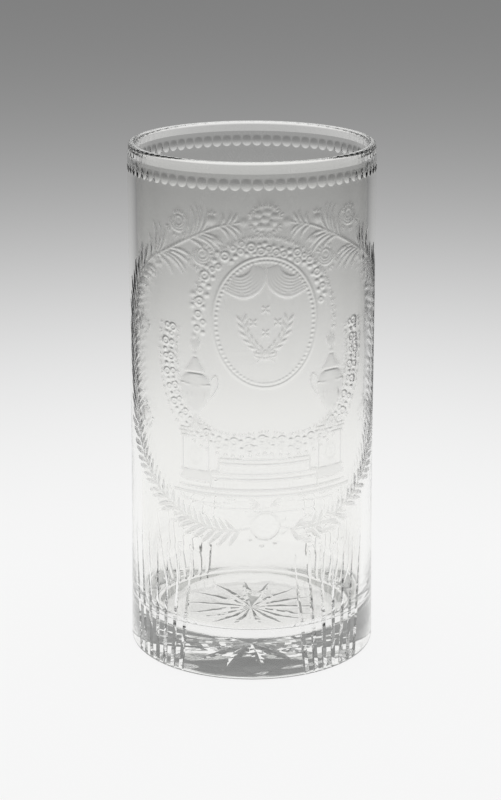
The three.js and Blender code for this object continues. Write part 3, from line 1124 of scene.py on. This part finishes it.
def cut_wall(bm, sizes, cuts, row):
    """Press in the beads and flutes, and mark their creases and the bevel's as sharp."""
    # Splitting leaves new vertices on the chords, so they go back on the round first
    turn, r, z = places([v.co for v in bm.verts])
    move_to(bm, turn, np.where(outer_wall(r, z, sizes), flared_radius(z, sizes), r), z)

    turn, r, z = places([v.co for v in bm.verts])
    on_wall = outer_wall(r, z, sizes)
    low_wall = (r > body_radius(sizes) - FOOT_DEPTH) & (z > -HAIR) & (z < 0.5 * HEIGHT)
    turn, z, beads, bead_edge = settle_beads(turn, z, on_wall, sizes, cuts, row / 2**FINE_LEVELS)
    turn, flutes, crease = settle_flutes(turn, z, low_wall, cuts)
    cut = flared_radius(z, sizes) - np.maximum(beads, flutes)
    r = np.where(low_wall & (flutes > 0), np.minimum(r, cut), np.where(on_wall, cut, r))
    move_to(bm, turn, r, z)

    bm.verts.index_update()
    at_bevel = on_wall & (np.abs(z - bevel_foot(sizes)) < HAIR)
    at_bevel |= np.abs(z - (HEIGHT - sizes.lip_outside)) < HAIR
    for e in bm.edges:
        a, b = e.verts[0].index, e.verts[1].index
        along_bevel = at_bevel[a] and at_bevel[b]
        along_crease = crease[a] and crease[a] == crease[b]
        if along_bevel or along_crease or (bead_edge[a] and bead_edge[b]):
            e.smooth = False


def missed_depth(relief, u, v, half):
    """How far the relief strays, in a square round each place, from the square's corners alone."""

    def at(a, b):
        return relief.sample(u + a * half, v + b * half)

    corners = [at(-1, -1), at(-1, 1), at(1, 1), at(1, -1)]
    sides = [at(-1, 0), at(0, 1), at(1, 0), at(0, -1)]
    mean = sum(corners) / 4
    errors = [at(0, 0) - mean, sum(sides) / 4 - mean]
    errors += [side - (a + b) / 2 for side, a, b in zip(sides, corners, corners[1:] + corners[:1])]
    return np.max(np.abs(errors), axis=0)


def engrave_wall(bm, relief, sizes, row):
    """Make the grid finer where the engraving needs it, and press the relief in."""
    size = row / MM
    for level, margin in enumerate(SPLIT_MARGINS):
        turn, r, z = face_places(bm)
        area = np.array([f.calc_area() for f in bm.faces]) / MM**2
        square = (area > WHOLE_SQUARE[0] * size**2) & (area < WHOLE_SQUARE[1] * size**2)
        u = unroll(turn, sizes)
        v = z / MM
        wanted = outer_wall(r, z, sizes) & between(z, PRESSED_HEIGHTS) & square
        wanted &= relief.busy(u, v, size / 2 + margin)
        if level == len(SPLIT_MARGINS) - 1:
            allowed = FINE_ERROR * np.interp(np.abs(u), ERROR_PLACES, ERROR_SHARES)
            wanted &= missed_depth(relief, u, v, size / 2) > allowed
        split_faces(bm, wanted)
        size /= 2
    turn, r, z = places([v.co for v in bm.verts])
    u = unroll(turn, sizes)
    depth = np.where(np.abs(u) < PRESSED_HALF, np.clip(relief.sample(u, z / MM), 0, None) * MM, 0)
    here = outer_wall(r, z, sizes) & between(z, PRESSED_HEIGHTS)
    move_to(bm, turn, np.where(here, flared_radius(z, sizes) - depth, r), z)


def add_star(bm, cuts):
    """Set the star's disc into the underside and close the strip round it."""
    disc = bmesh.new()
    star_disc(disc, cuts)
    mesh = bpy.data.meshes.new("star_disc")
    disc.to_mesh(mesh)
    disc.free()
    bm.from_mesh(mesh)
    bpy.data.meshes.remove(mesh)
    bmesh.ops.bridge_loops(bm, edges=[e for e in bm.edges if e.is_boundary])


def leave_matt(mesh, relief, sizes):
    """Note on each vertex how matt the engraving leaves it."""
    turn, r, z = places([v.co for v in mesh.vertices])
    carved = flared_radius(z, sizes) - r
    picture = between(z, MATT_HEIGHTS) & (carved > 0) & (carved < CARVED_MOST)
    left = relief.sample(unroll(turn, sizes), z / MM, relief.matt)
    matt = np.where(picture, left * np.clip(carved / MATT_FROM, 0, 1), 0)
    attribute = mesh.attributes.new(MATT_ATTRIBUTE, "FLOAT", "POINT")
    attribute.data.foreach_set("value", matt.astype(np.float32))


class BEAKER_OT_glass(bpy.types.Operator):
    """Blow, cut and engrave the glass"""

    bl_idname = "beaker.glass"
    bl_label = "Cut and engraved glass"

    def execute(self, context):
        sizes = context.scene.beaker_body
        cuts = context.scene.beaker_cuts
        spacing = 2 * math.pi * body_radius(sizes) / BODY_COLUMNS
        wall_rows = rows(sizes.foot_rounding, bevel_foot(sizes), spacing)
        row = (bevel_foot(sizes) - sizes.foot_rounding) / (len(wall_rows) - 1)
        bm = bmesh.new()
        spin_round(bm, outside_profile(sizes, spacing) + inside_profile(sizes, spacing), BODY_COLUMNS)
        for f in bm.faces:
            f.smooth = True
        split_cut_bands(bm, sizes, cuts, row)
        cut_wall(bm, sizes, cuts, row)
        relief = engraving()
        engrave_wall(bm, relief, sizes, row)
        add_star(bm, cuts)
        hollow_out(bm, sizes)
        ripple_floor(bm, sizes)
        bmesh.ops.recalc_face_normals(bm, faces=bm.faces)

        mesh = bpy.data.meshes.new(GLASS_PIECE)
        bm.to_mesh(mesh)
        bm.free()
        leave_matt(mesh, relief, sizes)
        mesh.materials.append(glass_material(context.scene.beaker_glass))
        piece = bpy.data.objects.new(GLASS_PIECE, mesh)
        context.collection.objects.link(piece)
        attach(piece, "root")
        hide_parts(BODY_NODE)
        return {"FINISHED"}


# The floor's painted pool of light fades one way straight behind the beaker and another way in front. The
# cosine of the direction, from straight behind, says where one gives way to the other.
BEHIND_TO_BEFORE = (0.93, 0.5)

FLOOR_RADIUS = 8.0
FLOOR_CORNERS = 96


def floor_material(look):
    """A pale floor that glows where it is seen with a painted pool of light round the beaker, and takes a
    little shadow.
    """
    material = bpy.data.materials.new("pale_floor")
    material.use_nodes = True
    tree = material.node_tree
    tree.nodes.clear()

    def calculate(operation, *values):
        return add_node(tree, "ShaderNodeMath", dict(enumerate(values)), operation=operation).outputs[0]

    place = add_node(tree, "ShaderNodeTexCoord", {}).outputs["Object"]
    away = add_node(tree, "ShaderNodeVectorMath", {0: place}, operation="LENGTH").outputs["Value"]

    # Painted light: the level is brightest by the beaker and fades with distance from it, as a pool of light
    # would
    def painted_pool_at(half_way, power, far_share):
        spread = calculate("ADD", calculate("POWER", calculate("DIVIDE", away, half_way), power), 1.0)
        near = calculate("DIVIDE", look.near_level * (1 - far_share), spread)
        return calculate("ADD", near, look.near_level * far_share)

    behind = painted_pool_at(look.fade_behind, look.fade_behind_power, look.far_share)
    before = painted_pool_at(look.fade_before, look.fade_before_power, look.far_share_before)
    axes = add_node(tree, "ShaderNodeSeparateXYZ", {0: place})
    direction = calculate("DIVIDE", axes.outputs["Y"], calculate("MAXIMUM", away, 1 * MM))
    turned = map_range(tree, direction, BEHIND_TO_BEFORE, (0.0, 1.0), interpolation_type="SMOOTHSTEP")
    change = calculate("MULTIPLY", calculate("SUBTRACT", before, behind), turned)
    level = calculate("ADD", behind, change)

    rays = add_node(tree, "ShaderNodeLightPath", {}).outputs
    seen = calculate("MAXIMUM", rays["Is Camera Ray"], rays["Is Glossy Ray"])
    seen = calculate("MAXIMUM", seen, rays["Is Transmission Ray"])
    share = calculate("MULTIPLY", seen, 1 - look.shadow_share)
    # The painted pool of light is both the floor's diffuse colour and its glow
    matt = add_node(tree, "ShaderNodeBsdfDiffuse", {"Color": level}).outputs["BSDF"]
    glow = add_node(tree, "ShaderNodeEmission", {"Color": level}).outputs["Emission"]
    mix = add_node(tree, "ShaderNodeMixShader", {"Fac": share, 1: matt, 2: glow}).outputs["Shader"]
    add_node(tree, "ShaderNodeOutputMaterial", {"Surface": mix})
    return material


# The room: heights between which it fades, heights between which it is lighter in front, and how
# far back its front side reaches, all as parts of a unit direction
ROOM_FADE = (0.0, 0.7)
ROOM_LIGHTER = (0.15, 0.5)
ROOM_FRONT = (0.0, 0.6)
ROOM_COLOUR = (0.99, 1.0, 0.995, 1)
DIFFUSE_LEVEL = 1.0


def studio_world(look):
    """A dim room that fades upwards where it is seen, and even light where it isn't."""
    world = bpy.data.worlds.new("studio_room")
    world.use_nodes = True
    tree = world.node_tree
    direction = add_node(tree, "ShaderNodeTexCoord", {}).outputs["Generated"]
    axes = add_node(tree, "ShaderNodeSeparateXYZ", {0: direction}).outputs
    room = map_range(tree, axes["Z"], ROOM_FADE, (look.sky_low, look.sky_high))
    front = map_range(tree, axes["Z"], ROOM_LIGHTER, (look.room_share, look.room_above))
    share = map_range(tree, axes["Y"], ROOM_FRONT, (front, 1.0))
    seen = add_node(tree, "ShaderNodeMath", {0: room, 1: share}, operation="MULTIPLY").outputs[0]
    diffuse = add_node(tree, "ShaderNodeLightPath", {}).outputs["Is Diffuse Ray"]
    inputs = {0: diffuse, 2: seen, 3: DIFFUSE_LEVEL}
    level = add_node(tree, "ShaderNodeMix", inputs, data_type="FLOAT").outputs[0]
    background = tree.nodes["Background"]
    tree.links.new(level, background.inputs["Strength"])
    background.inputs["Color"].default_value = ROOM_COLOUR
    return world


# How often light may be bent before it is lost, and how often the round lip may reflect it
BENT_MOST = 160
REFLECTED_MOST = 36

SENSOR_WIDTH = 36


class BEAKER_OT_studio(bpy.types.Operator):
    """Lay the floor, light it softly and place the camera"""

    bl_idname = "beaker.studio"
    bl_label = "Studio"

    def execute(self, context):
        look = context.scene.beaker_studio
        bm = bmesh.new()
        bmesh.ops.create_circle(bm, cap_ends=True, radius=FLOOR_RADIUS, segments=FLOOR_CORNERS)
        bmesh.ops.translate(bm, verts=bm.verts, vec=(0, 0, BODY_LOW[2] - look.ground_gap))
        mesh = bpy.data.meshes.new("studio_floor")
        bm.to_mesh(mesh)
        bm.free()
        mesh.materials.append(floor_material(look))
        floor = bpy.data.objects.new("studio_floor", mesh)
        context.collection.objects.link(floor)
        context.scene.world = studio_world(look)

        lens = bpy.data.cameras.new("camera")
        lens.lens = look.camera_lens
        lens.sensor_width = SENSOR_WIDTH
        camera = bpy.data.objects.new("camera", lens)
        context.collection.objects.link(camera)
        camera.location = (look.camera_side, -look.camera_distance, BODY_LOW[2] + look.camera_height)
        camera.rotation_euler = (math.pi / 2 - look.camera_pitch, 0, 0)
        context.scene.camera = camera
        context.scene.view_settings.view_transform = "Standard"
        context.scene.cycles.max_bounces = BENT_MOST
        context.scene.cycles.transmission_bounces = BENT_MOST
        context.scene.cycles.glossy_bounces = REFLECTED_MOST
        return {"FINISHED"}


class BEAKER_PT_panel(bpy.types.Panel):
    """The steps that build the beaker and its studio"""

    bl_label = "Glass beaker"
    bl_idname = "BEAKER_PT_panel"
    bl_space_type = "VIEW_3D"
    bl_region_type = "UI"
    bl_category = "Beaker"

    def draw(self, context):
        for operator in OPERATORS:
            self.layout.operator(operator.bl_idname)
        for name, group in GROUPS.items():
            box = self.layout.box()
            for value in group.__annotations__:
                box.prop(getattr(context.scene, name), value)


OPERATORS = (BEAKER_OT_glass, BEAKER_OT_studio)
GROUPS = {
    "beaker_body": BodySizes,
    "beaker_cuts": CutSizes,
    "beaker_glass": GlassLook,
    "beaker_studio": StudioLook,
}


def register():
    for cls in (*GROUPS.values(), *OPERATORS, BEAKER_PT_panel):
        bpy.utils.register_class(cls)
    for name, group in GROUPS.items():
        setattr(bpy.types.Scene, name, bpy.props.PointerProperty(type=group))


def unregister():
    for name in GROUPS:
        delattr(bpy.types.Scene, name)
    for cls in reversed((*GROUPS.values(), *OPERATORS, BEAKER_PT_panel)):
        bpy.utils.unregister_class(cls)


def main():
    register()
    bpy.ops.beaker.glass()
    bpy.ops.beaker.studio()


if __name__ == "__main__":
    main()
